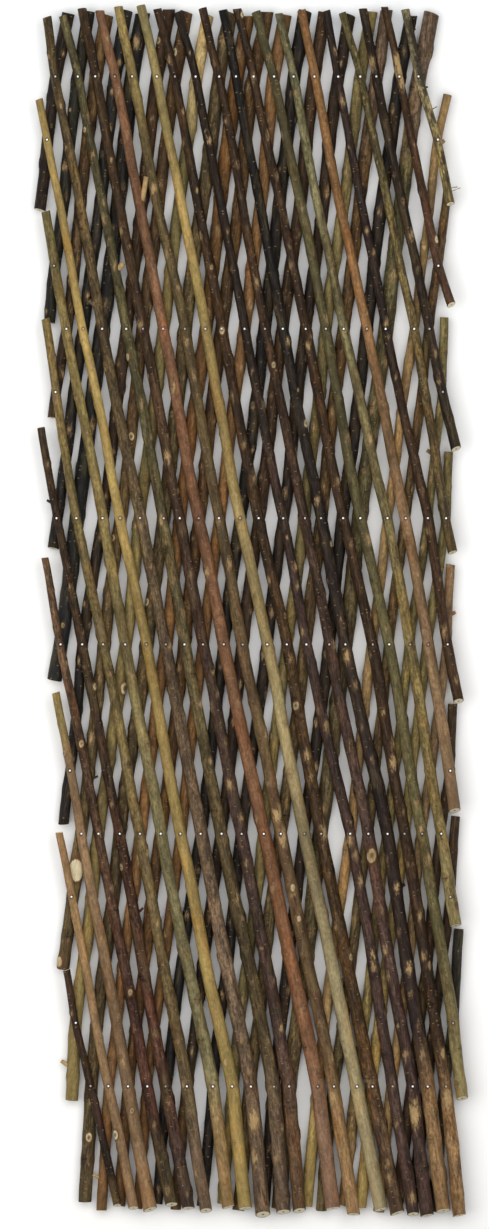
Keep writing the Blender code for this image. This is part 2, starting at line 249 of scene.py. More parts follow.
# Rod: upper tone, lower tone, patch tone, mottling, streaks, peeling
FINISHES = {"front": (
    ("dark brown", "black brown", "dark red", .6, .5, .1),
    ("amber", "orange tan", "brown", .3, .4, .05),
    ("orange tan", "orange tan", "brown", .3, .4, .05),
    ("warm brown", "dark red", "black", .6, .6, .1),
    ("dark brown", "dark red", "grey brown", .7, .7, .2),
    ("olive tan", "grey brown", "dust", .5, .6, .1),
    ("olive tan", "grey green", "grey brown", .4, .5, .05),
    ("golden", "golden", "olive tan", .25, .35, .0),
    ("grey brown", "dust", "dark brown", .6, .7, .15),
    ("olive grey", "grey brown", "black brown", .55, .6, .15),
    ("dark brown", "plum brown", "grey brown", .6, .7, .2),
    ("red clay", "rust", "chestnut", .35, .35, .0),
    ("grey brown", "warm brown", "olive tan", .42, .55, .2),
    ("golden", "pale green", "olive tan", .25, .3, .0),
    ("dark brown", "brown", "black brown", .65, .7, .15),
    ("black brown", "plum brown", "black", .55, .7, .3),
    ("dark brown", "plum brown", "black brown", .6, .6, .15),
    ("black", "purple brown", "grey brown", .5, .5, .15),
    ("dark brown", "dark brown", "black brown", .6, .7, .2),
    ("olive grey", "olive grey", "grey brown", .4, .5, .1),
    ("grey green", "olive tan", "dark brown", .5, .6, .1),
    ("copper", "orange tan", "chestnut", .35, .4, .0),
    ("purple brown", "dark brown", "black", .5, .7, .25),
    ("olive", "grey brown", "olive black", .6, .6, .1),
    ("black brown", "black brown", "grey brown", .6, .7, .2),
    ("dark brown", "red brown", "black brown", .5, .7, .25),
    ("pale green", "khaki", "black brown", .65, .8, .15),
), "back": (
    ("black brown", "black brown", "brown", .6, .5, .1),
    ("olive black", "olive black", "black", .5, .4, .0),
    ("brown", "dark brown", "tan", .6, .6, .15),
    ("blue black", "black", "grey brown", .4, .4, .05),
    ("black", "blue black", "olive grey", .4, .5, .05),
    ("dark brown", "black", "brown", .5, .6, .15),
    ("brown", "grey brown", "black brown", .5, .5, .1),
    ("olive", "olive tan", "olive grey", .3, .4, .0),
    ("grey brown", "grey brown", "dark brown", .6, .6, .1),
    ("chestnut", "copper", "brown", .4, .5, .05),
    ("brown", "chestnut", "black brown", .5, .5, .1),
    ("copper", "chestnut", "brown", .4, .4, .05),
    ("black", "black", "grey brown", .5, .5, .05),
    ("dark brown", "black brown", "brown", .5, .5, .1),
    ("black brown", "black", "brown", .45, .5, .1),
    ("olive", "olive", "brown", .4, .5, .05),
    ("brown", "grey brown", "black brown", .6, .6, .1),
    ("black", "black brown", "brown", .45, .5, .05),
    ("olive grey", "grey brown", "dark brown", .6, .6, .1),
    ("tan", "tan", "brown", .35, .45, .05),
    ("brown", "grey brown", "olive", .6, .7, .2),
    ("olive", "olive tan", "grey brown", .5, .5, .05),
    ("olive", "golden", "olive tan", .4, .5, .0),
    ("orange tan", "tan", "brown", .4, .5, .05),
    ("dark brown", "dark brown", "grey brown", .5, .5, .1),
    ("dark brown", "black brown", "grey brown", .5, .5, .1),
    ("olive black", "black brown", "olive grey", .6, .5, .1),
)}
# Rods, by number, whose bark has another tone near the upper or the lower end
HEADS = {"front": {
    3: "olive tan", 7: "olive", 13: "olive tan", 14: "khaki",
}, "back": {
    8: "straw", 17: "dust", 19: "dust",
}}
FEET = {"front": {
    1: "grey brown", 4: "grey brown", 5: "plum brown", 6: "dust", 7: "tan", 10: "dust", 11: "warm brown",
    12: "clay", 13: "amber", 15: "warm brown", 17: "plum brown", 18: "amber", 19: "amber", 20: "khaki",
    21: "khaki",
}, "back": {
    14: "brown", 20: "golden", 22: "tan",
}}


def colour(tone):
    """A palette tone as Blender's linear colour."""
    parts = [int(TONES[tone][i:i + 2], 16) / 255 for i in (0, 2, 4)]
    return tuple(c / 12.92 if c <= 0.04045 else ((c + 0.055) / 1.055) ** 2.4 for c in parts) + (1.0,)


def finish_of(name):
    """The six finish values of a rod, and the tones of its head and its foot."""
    layer, _, number = name.split("_")
    number = int(number)
    finish = FINISHES[layer][number - 1]
    return *finish, HEADS[layer].get(number, finish[0]), FEET[layer].get(number, finish[1])


print(len(TONES), "tones,", sum(len(rows) for rows in FINISHES.values()), "finishes")

# %% [markdown]
# ## Marks on the bark
# A willow rod has a small scar wherever a bud or a side twig grew, in turns on its two sides.
# Most are low bumps. Some were cut off and show a pale heart with a dark rim. The largest ones of
# the real trellis are listed one by one, the others by a random draw with a fixed seed for each rod.

# %% Tables of knots, worn spots that also paint highlights, and stubs
# How pale a cut knot's heart is: across and up from the middle of the picture, and size, in mm
KNOTS = {"front": {
    .9: ((-150, -581, 6), (206, 412, 5)),
    .8: ((-174, -84, 5), (-188, -147, 5), (-10, 662, 4)),
    .7: ((134, -271, 9), (63, 208, 5), (-139, 282, 5), (-32, 311, 5), (46, -307, 5), (53, -341, 4.5)),
    .6: ((-132, -554, 4), (-134, -423, 5), (110, -384, 5), (-184, 534, 4), (52, 245, 3)),
    .5: ((-210, -158, 4), (50, -105, 6), (-143, -284, 5), (-44, 381, 4), (25, 273, 4), (94, 74, 4)),
}, "back": {
    1: ((-194, -288, 13), (-213, -390, 7)),
    .9: ((-133, 194, 5.5), (-119, 10, 5), (-141, -86, 8), (-158, 81, 5), (-86, 621, 6), (-180, -585, 6)),
    .7: ((-190, 8, 4), (-106, 658, 6), (-106, 634, 5)),
    .6: ((-209, -16, 4), (-201, 557, 3)),
    .5: ((-126, 318, 4), (-187, 454, 5)),
}}
# How far the outer bark has worn off, each pale spot also a painted highlight where a node's bulge
# catches the light, or below zero how dark a flake of old bark is: the same
WORN_HIGHLIGHTS_AND_FLAKES = {"front": {
    1: ((29, -225, 11), (162, 612, 9), (165, 600, 12), (168, 588, 9), (3, -565, 14), (180, -558, 16),
        (218, -541, 13)),
    .9: ((-93, 171, 8), (158, -168, 9), (132, 81, 9), (36, -251, 12), (-108, 468, 8), (91, -244, 11),
        (90, -541, 11), (213, -490, 7)),
    .8: ((-99, 100, 7), (-53, -103, 9), (62, -160, 8), (5, 148, 8), (63, 294, 8), (151, 320, 7),
        (179, 417, 8), (-168, 433, 8), (-145, 422, 8), (-123, 318, 7), (-66, 411, 7), (133, 606, 10),
        (157, 598, 9), (109, -255, 9), (122, -299, 8), (111, -383, 8), (197, -275, 8), (3, -607, 12),
        (34, -462, 7), (92, -494, 8), (179, -652, 9)),
    .7: ((-32, -91, 7), (93, -38, 7), (214, -23, 8), (133, 193, 8), (49, 49, 7), (6, 364, 7), (88, 325, 8),
        (141, 398, 6), (-151, 383, 6), (-32, -324, 9), (-15, -319, 8), (-92, 503, 8), (26, 528, 7),
        (94, 621, 6), (102, 566, 7), (46, -309, 9), (53, -342, 8), (191, -383, 7), (198, -393, 6),
        (190, -492, 8), (171, -494, 8), (151, -613, 7), (-64, -624, 9), (-75, -525, 7)),
    .6: ((-71, -2, 8), (84, -127, 8), (110, 193, 9), (163, 81, 7), (97, 144, 7), (19, 34, 7), (16, 228, 6),
        (124, 241, 7), (43, 383, 8), (44, 433, 6), (123, 263, 8), (58, 447, 6), (-63, 261, 7), (-94, 395, 7),
        (-58, 415, 6), (-113, -324, 7), (-174, 550, 7), (3, 592, 7), (19, 614, 6), (34, -218, 9),
        (116, -270, 8), (149, -406, 7), (153, -628, 8), (98, -600, 8), (-43, -575, 8)),
    .5: ((193, 89, 6), (-150, -307, 7), (34, 527, 6), (0, -490, 10), (19, -477, 8), (-93, -644, 9),
        (-34, -621, 8), (-113, -515, 6)),
    -.8: ((204, 546, 7), (218, 484, 7)),
    -.9: ((214, 503, 7),),
    -1: ((179, 652, 8), (181, 643, 7), (184, 634, 8), (186, 624, 7), (188, 614, 8), (191, 604, 7),
        (193, 595, 8), (195, 586, 7), (197, 577, 7)),
}, "back": {
    .7: ((-185, 644, 9),),
    .6: ((-65, -386, 12), (-155, 424, 6)),
    .5: ((-172, -247, 7), (90, 120, 7)),
    .4: ((15, -320, 6), (57, 420, 8), (-110, -350, 7)),
}}
# Cut side twigs: across, up (mm), turn round the rod, lean away from it (degrees), length, radius (mm)
STUBS = {"front": (
    (-130, 455, 65, 7, 27, 2.9), (-159, 341, -80, 45, 5, 3.0), (-151, 380, 80, 30, 7, 3.2),
    (-126, -334, 85, 40, 6, 1.7), (165, -305, 85, 65, 4, 2.1), (198, 557, 85, 60, 6, 0.5),
    (222, 466, 75, 70, 10, 0.4), (222, 470, 85, 85, 7, 0.5), (-218, 121, -88, 60, 4, 1.4),
    (118, -410, -80, 50, 4, 1.6), (179, 645, 80, 70, 2.5, 0.9), (184, 629, 85, 60, 3, 1.0),
    (188, 612, 80, 75, 2.5, 0.8), (193, 595, 85, 60, 3, 0.9), (199, 581, 80, 70, 2.5, 1.0),
), "back": (
    (-206, -505, -88, 55, 8, 2.3), (-169, -630, -85, 62, 7, 1.8), (216, 520, 85, 50, 5, 2.2),
    (196, -343, 80, 55, 6, 1.8), (191, 391, 85, 60, 5, 1.3), (195, 176, -85, 55, 5, 2.2),
    (-175, -186, 85, 60, 5, 1.2), (214, -3, 85, 65, 4, 2.0),
)}
print(sum(len(spots) for table in (KNOTS, WORN_HIGHLIGHTS_AND_FLAKES) for groups in table.values() for spots in groups.values()),
      "marks and", sum(len(stubs) for stubs in STUBS.values()), "stubs")

# %% [markdown]
# ## From the picture to the rods
# Each mark of the tables goes to the rod that lies nearest to its place, and onto that rod's round
# bark. Between them a random draw adds small scars, mostly with a pale spot close by: worn bark that
# also paints the highlight of a node catching the light. Every mark keeps its kind, its size and how
# pale it is. Nails are marks too: each head bruises the bark.

# %% Put the marks on the rods
NODE_SPACING = (28 * MM, 62 * MM)
CLEAR_OF_FOOT, CLEAR_OF_MARK = 15 * MM, 14 * MM
MOST_TO_SIDE = 0.75
# The fourth kind of mark is a pale spot: worn bark, and a painted highlight where a node catches the light
PLAIN, KNOT, NAIL, WORN_SPOT_AND_HIGHLIGHT = 0, 1, 2, 3


def at_height(name, height):
    """The rod's place across and its radius at a height."""
    rod = measured[name]
    return tuple(np.interp(-height, -rod["height"], values) for values in (lines[name], rod["radius"]))


def on_bark(name, height, turn):
    """A point on the rod's surface. Turn 0 faces the viewer and 90 degrees faces right."""
    across, radius = at_height(name, height)
    level = MIDDLE_LEVEL + SIDE[name] * (LAYER_ROOM + radius)
    return (across + radius * math.sin(turn), height, level + radius * math.cos(turn))


def rod_under(layer, across, height):
    """The rod of a layer that lies nearest to a place in the picture."""
    there = [name for name in RODS if name.startswith(layer)
             and measured[name]["height"][-1] < height < measured[name]["height"][0]]
    return min(there, key=lambda name: abs(at_height(name, height)[0] - across))


def placed(table, kind):
    """Marks from the listed tables, each with its rod."""
    found = {name: [] for name in RODS}
    for layer, groups in table.items():
        for across, height, size, pale in ((*spot, pale) for pale in groups for spot in groups[pale]):
            name = rod_under(layer, across * MM, height * MM)
            middle, radius = at_height(name, height * MM)
            side = max(-MOST_TO_SIDE, min(MOST_TO_SIDE, (across * MM - middle) / radius))
            found[name].append((on_bark(name, height * MM, math.asin(side)), kind, size * MM, pale))
    return found


# Listed pale spots: worn bark, and painted highlights where nodes catch the light
cut_knots, worn_and_highlight_spots = placed(KNOTS, KNOT), placed(WORN_HIGHLIGHTS_AND_FLAKES, WORN_SPOT_AND_HIGHLIGHT)


def marks_of(name):
    """Every mark on a rod: where it is, its kind, its size and how pale it is."""
    draws = random.Random(name + " marks")
    rod, marks = measured[name], cut_knots[name] + worn_and_highlight_spots[name]
    height, side = rod["height"][0] - draws.uniform(*NODE_SPACING), draws.choice((-1, 1))
    while height > rod["height"][-1] + CLEAR_OF_FOOT:
        turn = side * math.radians(draws.uniform(20, 130))
        thick, pale = at_height(name, height)[1] * 2, draws.random()
        if all(abs(mark[0][1] - height) > CLEAR_OF_MARK for mark in marks):
            size = draws.uniform(0.2, 0.4) * thick
            marks.append((on_bark(name, height, turn), KNOT, size, 0.4 * max(0, pale - 0.5)))
            spot = on_bark(name, height - draws.uniform(0, 4) * MM, turn * draws.uniform(0, 0.8))
            # A pale spot below most scars: worn bark, and a painted highlight on the node's bulge
            if draws.random() < 0.75:
                marks.append((spot, WORN_SPOT_AND_HIGHLIGHT, draws.uniform(0.3, 0.6) * thick, draws.uniform(0.25, 0.9)))
        height, side = height - draws.uniform(*NODE_SPACING), -side
    return marks


def nails_through(name):
    """The nails that pass through a front rod."""
    rod, through = measured[name], []
    for across, height in (place for places in nails.values() for place in places):
        if rod["height"][-1] < height < rod["height"][0]:
            middle, radius = at_height(name, height)
            if abs(across - middle) < radius:
                through.append((across, height))
    return through


marks = {name: marks_of(name) for name in RODS}
print(sum(len(m) for m in marks.values()), "knots and stains")

# %% [markdown]
# ## The stations of a rod
# Each rod starts as a line of stations with a radius at every one. At a sawn end the line goes on
# for a few hundredths of a millimetre with ever smaller rings, which gives the end its rim, its
# wood and its pith. A cut is rarely square, so the rings near an end lean: the lower ends of the
# front rods show their pale wood to the viewer.

# %% List a rod's stations
SMOOTH_TONES = ("golden", "red clay", "copper", "amber", "orange tan")
SMOOTH_SHARE = 0.35
# Depth as a share of the radius, length in metres, share of the phase
UNEVEN = ((0.02, 0.045, 1), (0.014, 0.017, 2))
# Beyond the end by (mm), share of the radius, is it wood
CUT_RINGS = ((-0.9, 1.0, 0), (-0.3, 1.0, 0), (0.0, 0.965, 0), (0.03, 0.93, 1), (0.05, 0.72, 1),
             (0.06, 0.5, 1), (0.07, 0.28, 1), (0.08, 0.1, 1))
# From what to what a cut may lean, to the front (slant) and sideways (skew), at the lower end of a
# front or back rod and at an upper end, and how far the lean reaches, in radii
FOOT_SLANT, TOP_SLANT = {1: (0.25, 0.55), -1: (-0.1, 0.16)}, (-0.16, 0.1)
FOOT_SKEW, TOP_SKEW = (-0.16, 0.16), (-0.2, 0.2)
SLANT_REACH = 3.2
# How high and how long the swelling at a knot is, as shares of the knot's size
SWELL_HIGH, SWELL_LONG = 0.11, 1.6


def swelling(name, heights):
    """How much thicker a rod is near its knots."""
    extra = np.zeros(len(heights))
    for (_, height, _), kind, size, _ in marks[name]:
        if kind == KNOT:
            extra += SWELL_HIGH * size * np.exp(-((heights - height) / (SWELL_LONG * size)) ** 2)
    return extra


def station_table(name):
    """All stations of a rod, its two sawn ends included, as one table."""
    rod, draws = measured[name], random.Random(name + " cuts")
    heights, across = rod["height"], lines[name]
    phase = draws.uniform(0, 6)
    rough = SMOOTH_SHARE if finish_of(name)[0] in SMOOTH_TONES else 1
    uneven = sum(depth * np.sin(heights / length + share * phase) for depth, length, share in UNEVEN)
    radius = rod["radius"] * (1 + rough * uneven) + rough * swelling(name, heights)
    ends = []
    for near, far, out in ((0, 6, 1), (-1, -7, -1)):
        lean = (across[near] - across[far]) / (heights[near] - heights[far])
        ends.append([(across[near] + out * beyond * MM * lean, heights[near] + out * beyond * MM,
                      radius[near] * share, wood, share) for beyond, share, wood in CUT_RINGS])
    body = [(across[i], heights[i], radius[i], 0, 1) for i in range(1, len(heights) - 1)]
    rows = np.array(ends[0][::-1] + body + ends[1])
    table = dict(zip(("across", "height", "thickness", "cut", "rim"), rows.T))
    full = np.where(rows[:, 4] < 1, np.interp(-rows[:, 1], -heights, radius), rows[:, 2])
    table["level"] = MIDDLE_LEVEL + SIDE[name] * (LAYER_ROOM + full)
    table["along"] = (heights[-1] - rows[:, 1]) / (heights[-1] - heights[0])
    reach = SLANT_REACH * radius.mean()
    near_top = np.clip(1 - (heights[0] - rows[:, 1]) / reach, 0, 1)
    near_foot = np.clip(1 - (rows[:, 1] - heights[-1]) / reach, 0, 1)
    for field, foot, top in (("slant", FOOT_SLANT[SIDE[name]], TOP_SLANT), ("skew", FOOT_SKEW, TOP_SKEW)):
        table[field] = near_foot * draws.uniform(*foot) + near_top * draws.uniform(*top)
    return table


print("each sawn end has", len(CUT_RINGS), "rings")

# %% [markdown]
# ## Side twigs, and the skeleton of a rod
# Where a side twig was cut off, a stub stands out of the rod. Its stations start inside the rod and
# bend outwards along the twig. The lines of a rod and its stubs, and a loose point for each of its
# knots, worn spots with painted highlights, and nails, make its skeleton: the mesh that the rod grows on.

# %% Build the skeletons
FIELDS = ("thickness", "along", "cut", "rim", "slant", "skew", "axis_level", "axis_across", "bare",
          "kind", "size", "pale")
NAIL_BRUISE = 3.4 * MM
STUB_STATIONS = 9
STUB_ROOT_BELOW = 2 * MM
# Long stubs have lost their bark. A stub's radius falls from its root to its tip
LONG_STUB, THIN_STUB, BARE = 6, 1, 1.6
ROOT_SHARE, TAPER = 1.25, 0.35


def stubs_of(name):
    """The side twigs of a rod: height, turn, lean, length and radius."""
    layer = name.split("_")[0]
    return [stub[1:] for stub in STUBS[layer] if rod_under(layer, stub[0] * MM, stub[1] * MM) == name]


def stub_table(name, height, turn, lean, length, radius):
    """The stations of a cut side twig, from inside the rod outwards."""
    turn, lean = math.radians(turn), math.radians(lean)
    middle, rod_radius = at_height(name, height * MM)
    start = np.array(on_bark(name, height * MM, turn))
    out = np.array([math.sin(turn) * math.sin(lean), math.cos(lean), math.cos(turn) * math.sin(lean)])
    root = np.array([middle, height * MM - STUB_ROOT_BELOW, start[2] - rod_radius * math.cos(turn)])
    tip = start + out * length * MM
    rows = []
    for share in np.linspace(0, 1, STUB_STATIONS):
        point = (1 - share) ** 2 * root + 2 * share * (1 - share) * start + share ** 2 * tip
        rows.append((*point, radius * MM * (ROOT_SHARE - TAPER * share), 0, 1))
    for beyond, share, wood in CUT_RINGS[2:]:
        rows.append((*(tip + out * beyond * MM), radius * MM * (ROOT_SHARE - TAPER) * share, wood, share))
    rows = np.array(rows)
    table = dict(zip(("across", "height", "level", "thickness", "cut", "rim"), rows.T))
    table["along"] = np.full(len(rows), 0.5)
    table["bare"] = np.full(len(rows), BARE if length > LONG_STUB and radius > THIN_STUB else 0.0)
    return table


def skeleton(name):
    """A mesh of lines and loose points that the rod grows on."""
    columns = {field: [] for field in FIELDS}
    points, edges = [], []
    for table in [station_table(name)] + [stub_table(name, *stub) for stub in stubs_of(name)]:
        table.update(axis_level=table["level"], axis_across=table["across"])
        count, first = len(table["across"]), len(points)
        points += list(zip(table["across"], table["height"], table["level"]))
        edges += [(first + i, first + i + 1) for i in range(count - 1)]
        for field in FIELDS:
            columns[field] += list(table.get(field, np.zeros(count)))
    spots = list(marks[name])
    for across, height in nails_through(name) if SIDE[name] > 0 else ():
        top = MIDDLE_LEVEL + LAYER_ROOM + 2 * at_height(name, height)[1]
        spots.append(((across, height, top), NAIL, NAIL_BRUISE, 0))
    for place, kind, size, pale in spots:
        points.append(place)
        for field in FIELDS:
            columns[field].append({"kind": kind, "size": size, "pale": pale}.get(field, 0))
    mesh = bpy.data.meshes.new(name + " skeleton")
    mesh.from_pydata([tuple(p) for p in points], edges, [])
    for field in FIELDS:
        values = np.array(columns[field], np.float32)
        mesh.attributes.new(field, "FLOAT", "POINT").data.foreach_set("value", values)
    return mesh


print("a skeleton's fields:", ", ".join(FIELDS))

# %% [markdown]
# ## Small helpers for node trees
# Geometry Nodes and shader nodes are both made by adding nodes and linking sockets. These helpers
# do that in one call: an input may be a plain value, or the output of another node, which then
# also says to which tree the new node belongs.

# %% Helpers for node trees
SOCKET_KINDS = {int: "Int", float: "Float", tuple: "Color"}


def is_socket(value):
    """Whether a value is a node's socket."""
    return isinstance(value, bpy.types.NodeSocket)


def tree_of(values):
    """The tree that the sockets among these values belong to."""
    return next(value.id_data for value in values if is_socket(value))


def feed(node, inputs):
    """Sets a node's inputs to plain values, or links them to outputs."""
    for socket, value in inputs.items():
        if is_socket(value):
            node.id_data.links.new(value, node.inputs[socket])
        else:
            node.inputs[socket].default_value = value
    return node


def add(tree, kind, inputs=None, **settings):
    """Adds a node, sets its settings and feeds its inputs."""
    node = tree.nodes.new(kind)
    for setting, value in settings.items():
        setattr(node, setting, value)
    return feed(node, inputs or {})


def geometry(tree, kind, inputs=None, **settings):
    """The first output of a new Geometry Nodes node."""
    return add(tree, "GeometryNode" + kind, inputs, **settings).outputs[0]


def maths(operation, *values, clamp=False):
    """A Math node's result."""
    inputs = dict(enumerate(values))
    return add(tree_of(values), "ShaderNodeMath", inputs, operation=operation, use_clamp=clamp).outputs[0]


times, plus, minus, times_plus = (functools.partial(maths, operation)
                                  for operation in ("MULTIPLY", "ADD", "SUBTRACT", "MULTIPLY_ADD"))


def vectors(operation, *values):
    """A Vector Math node's result."""
    node = add(tree_of(values), "ShaderNodeVectorMath", dict(enumerate(values)), operation=operation)
    return node.outputs["Value" if operation == "LENGTH" else "Vector"]


def xyz(*values):
    """A vector of three values."""
    return add(tree_of(values), "ShaderNodeCombineXYZ", dict(enumerate(values))).outputs[0]


def ramp(value, start, end, low=0.0, high=1.0):
    """Brings a value from one range to another, softly and without leaving it."""
    inputs = {"Value": value, "From Min": start, "From Max": end, "To Min": low, "To Max": high}
    return add(value.id_data, "ShaderNodeMapRange", inputs, interpolation_type="SMOOTHSTEP").outputs[0]


def noise(place, scale, detail=2.0, roughness=0.5, seed=0.0):
    """Soft random values, from about 0 to 1."""
    inputs = {"Vector": place, "Scale": scale, "Detail": detail, "Roughness": roughness, "W": seed}
    return add(place.id_data, "ShaderNodeTexNoise", inputs, noise_dimensions="4D").outputs[0]


def new_group(name, kind, inputs, outputs):
    """A node group with named inputs, each a starting value or a kind of socket, and outputs."""
    tree = bpy.data.node_groups.new(name, kind + "NodeTree")
    for name, value in inputs.items():
        kind = value if isinstance(value, str) else SOCKET_KINDS[type(value)]
        socket = tree.interface.new_socket(name, in_out="INPUT", socket_type="NodeSocket" + kind)
        if kind != value:
            socket.default_value = value
    for name, kind in outputs.items():
        tree.interface.new_socket(name, in_out="OUTPUT", socket_type="NodeSocket" + kind)
    return tree, add(tree, "NodeGroupInput").outputs, add(tree, "NodeGroupOutput")


print("helpers ready")

# %% [markdown]
# ## The tree that grows a rod
# A rod follows a path, so Geometry Nodes make it: the skeleton's line becomes a curve, and a circle
# is swept along it with the radius of each station. Every point of this tube has to know how near
# it is to a knot, a nail or a worn spot that also paints a highlight. It looks up the nearest loose point of that
# kind.

# %% Sweep the rod and find the marks
rod_tree, given, made = new_group("willow rod", "Geometry", {
    "Skeleton": "Geometry", "Sides": 24, "Ridge depth": 0.16 * MM, "Ridges per metre": 330.0,
    "Lump depth": 0.42 * MM, "Knot height": 0.42, "Nail dent": 0.3 * MM, "Lean": 0.0, "Seed": 0.0,
    "Contact level": 0.0, "Layer": 1.0, "Bark": "Material", "Sawn wood": "Material"}, {"Rod": "Geometry"})
rod_node = functools.partial(geometry, rod_tree)


def field(name):
    """One of the skeleton's values."""
    return rod_node("InputNamedAttribute", {"Name": name}, data_type="FLOAT")


def compared(first, second, operation, **inputs):
    """A Compare node's result."""
    inputs.update(A=first, B=second)
    return add(rod_tree, "FunctionNodeCompare", inputs, operation=operation).outputs[0]


def only(kind):
    """The skeleton's points of one kind."""
    chosen = compared(field("kind"), float(kind), "EQUAL", Epsilon=0.1)
    return rod_node("SeparateGeometry", {"Geometry": given["Skeleton"], "Selection": chosen})


place = rod_node("InputPosition")
place_parts = add(rod_tree, "ShaderNodeSeparateXYZ", {0: place}).outputs
curve = rod_node("MeshToCurve", {0: only(PLAIN)})
circle = rod_node("CurvePrimitiveCircle", {"Resolution": given["Sides"], "Radius": 1.0})
sweep = {"Curve": curve, "Profile Curve": circle, "Scale": field("thickness"), "Fill Caps": True}
tube = rod_node("CurveToMesh", sweep)


def nearness(kind, stretch):
    """How near a point is to a mark, from 0 to 1, the mark's size and paleness, and the way up to it."""
    spots = only(kind)
    nearest = rod_node("SampleNearest", {"Geometry": spots, "Sample Position": place}, domain="POINT")

    def of_mark(value, data_type="FLOAT"):
        inputs = {"Geometry": spots, "Index": nearest, "Value": value}
        return rod_node("SampleIndex", inputs, data_type=data_type, domain="POINT")

    size = of_mark(field("size"))
    away = vectors("MULTIPLY", vectors("SUBTRACT", place, of_mark(place, "FLOAT_VECTOR")), (1, stretch, 1))
    least = maths("MAXIMUM", size, 1e-5)
    share = maths("DIVIDE", vectors("LENGTH", away), least)
    rise = maths("DIVIDE", add(rod_tree, "ShaderNodeSeparateXYZ", {0: away}).outputs[1], least)
    return minus(1.0, share, clamp=True), size, of_mark(field("pale")), rise


knot, knot_size, knot_pale, knot_rise = nearness(KNOT, 0.6)
nail = nearness(NAIL, 1.0)[0]
# Nearness to the pale spots: worn bark and painted highlights on the nodes
stain, _, stain_and_highlight_pale, _ = nearness(WORN_SPOT_AND_HIGHLIGHT, 0.5)
print("the rod tree has", len(rod_tree.nodes), "nodes so far")

# %% [markdown]
# ## Ridges, knots and sawn faces
# The bark is pushed in and out: long low ridges come from noise that is stretched along the rod,
# knots swell with a small dip at their heart, and a nail head bruises the bark. Near an end the
# stations lean as the saw went, and nothing may pass the level between the layers.

# %% Push the bark in and out
turned = {"Vector": place, "Angle": given["Lean"]}
turned = add(rod_tree, "ShaderNodeVectorRotate", turned, rotation_type="Z_AXIS").outputs[0]
fibres = noise(vectors("MULTIPLY", turned, (1, 0.07, 1)), given["Ridges per metre"], 3, 0.6, given["Seed"])
lumps = noise(vectors("MULTIPLY", turned, (1, 0.45, 1)), 70.0, 2, 0.5, given["Seed"])
swell = times(minus(fibres, 0.5), given["Ridge depth"])
swell = times_plus(minus(lumps, 0.5), given["Lump depth"], swell)
collar = minus(ramp(knot, 0.0, 0.6), ramp(knot, 0.6, 0.95, 0.0, 0.4))
collar = times(times(collar, knot_size), given["Knot height"])
bruise = times(ramp(nail, 0.0, 0.7), given["Nail dent"])
swell = minus(plus(swell, times(collar, 0.35)), bruise)
swell = times(swell, minus(1.0, field("cut"), clamp=True))
outwards = {0: rod_node("InputNormal"), "Scale": swell}
outwards = add(rod_tree, "ShaderNodeVectorMath", outwards, operation="SCALE").outputs[0]
# Two of these values carry the pale spots: worn bark, and painted highlights on the nodes
for name, value in (("knot", knot), ("pale", knot_pale), ("nail", nail), ("rise", knot_rise),
                    ("stain", maths("MAXIMUM", stain, field("bare"))),
                    ("worn", plus(stain_and_highlight_pale, field("bare")))):
    inputs = {"Geometry": tube, "Name": name, "Value": value}
    tube = rod_node("StoreNamedAttribute", inputs, data_type="FLOAT", domain="POINT")
tube = rod_node("SetPosition", {"Geometry": tube, "Offset": outwards})

across, up, level = place_parts
lift = times(minus(level, field("axis_level")), field("slant"))
lift = times_plus(minus(across, field("axis_across")), field("skew"), lift)
over = times(given["Layer"], minus(level, given["Contact level"]))
level = times_plus(given["Layer"], maths("MAXIMUM", over, 0.0), given["Contact level"])
tube = rod_node("SetPosition", {"Geometry": tube, "Position": xyz(across, plus(up, lift), level)})

wood = compared(field("cut"), 0.6, "GREATER_THAN")
bark_face = add(rod_tree, "FunctionNodeBooleanMath", {0: wood}, operation="NOT").outputs[0]
tube = rod_node("SetShadeSmooth", {0: tube, "Shade Smooth": bark_face})
tube = rod_node("RealizeInstances", {0: tube})
tube = rod_node("SetMaterial", {"Geometry": tube, "Material": given["Bark"]})
tube = rod_node("SetMaterial", {"Geometry": tube, "Selection": wood, "Material": given["Sawn wood"]})
feed(made, {"Rod": tube})
print("the rod tree has", len(rod_tree.nodes), "nodes")

# %% [markdown]
# ## Bark as a shader group
# All the rods share one bark effect. Its patterns are noise at several scales, stretched along the
# rod as fibres and cracks run. The tone changes from the foot to the head. On top come darker and
# lighter blotches, patches of a second tone, dark and pale streaks and fine cracks.

# %% The bark group, its patterns and tones
WHITE = (1.0, 1.0, 1.0, 1.0)
# Share of the scale that is left along the rod, scale, detail, roughness
PATTERNS = {"fibre": (0.05, 700, 6, 0.7), "blotch": (0.3, 120, 7, 0.66), "tone": (0.3, 22, 3, 0.5),
            "speck": (0.5, 420, 4, 0.6), "crack": (0.09, 230, 5, 0.65), "skin": (0.22, 110, 7, 0.7),
            "hue": (0.35, 48, 3, 0.6), "shred": (0.3, 520, 7, 0.75)}
bark, given, made = new_group("willow bark", "Shader", {
    "Place": "Vector", "Upper colour": WHITE, "Lower colour": WHITE, "Patch colour": WHITE,
    "Worn colour": WHITE, "Head colour": WHITE, "Foot colour": WHITE, "Mottling": 0.5, "Streaks": 0.5,
    "Peeling": 0.1, "Seed": 0.0}, {"Colour": "Color", "Roughness": "Float", "Height": "Float"})
mottling, streaks, worn_tone = given["Mottling"], given["Streaks"], given["Worn colour"]


def stored(tree, name):
    """A value that the rod tree stored on the bark."""
    return add(tree, "ShaderNodeAttribute", attribute_name=name).outputs["Fac"]


def stretched(share, scale, detail, rough):
    """Noise that is stretched along the rod."""
    return noise(vectors("MULTIPLY", given["Place"], (1, share, 1)), scale, detail, rough, given["Seed"])


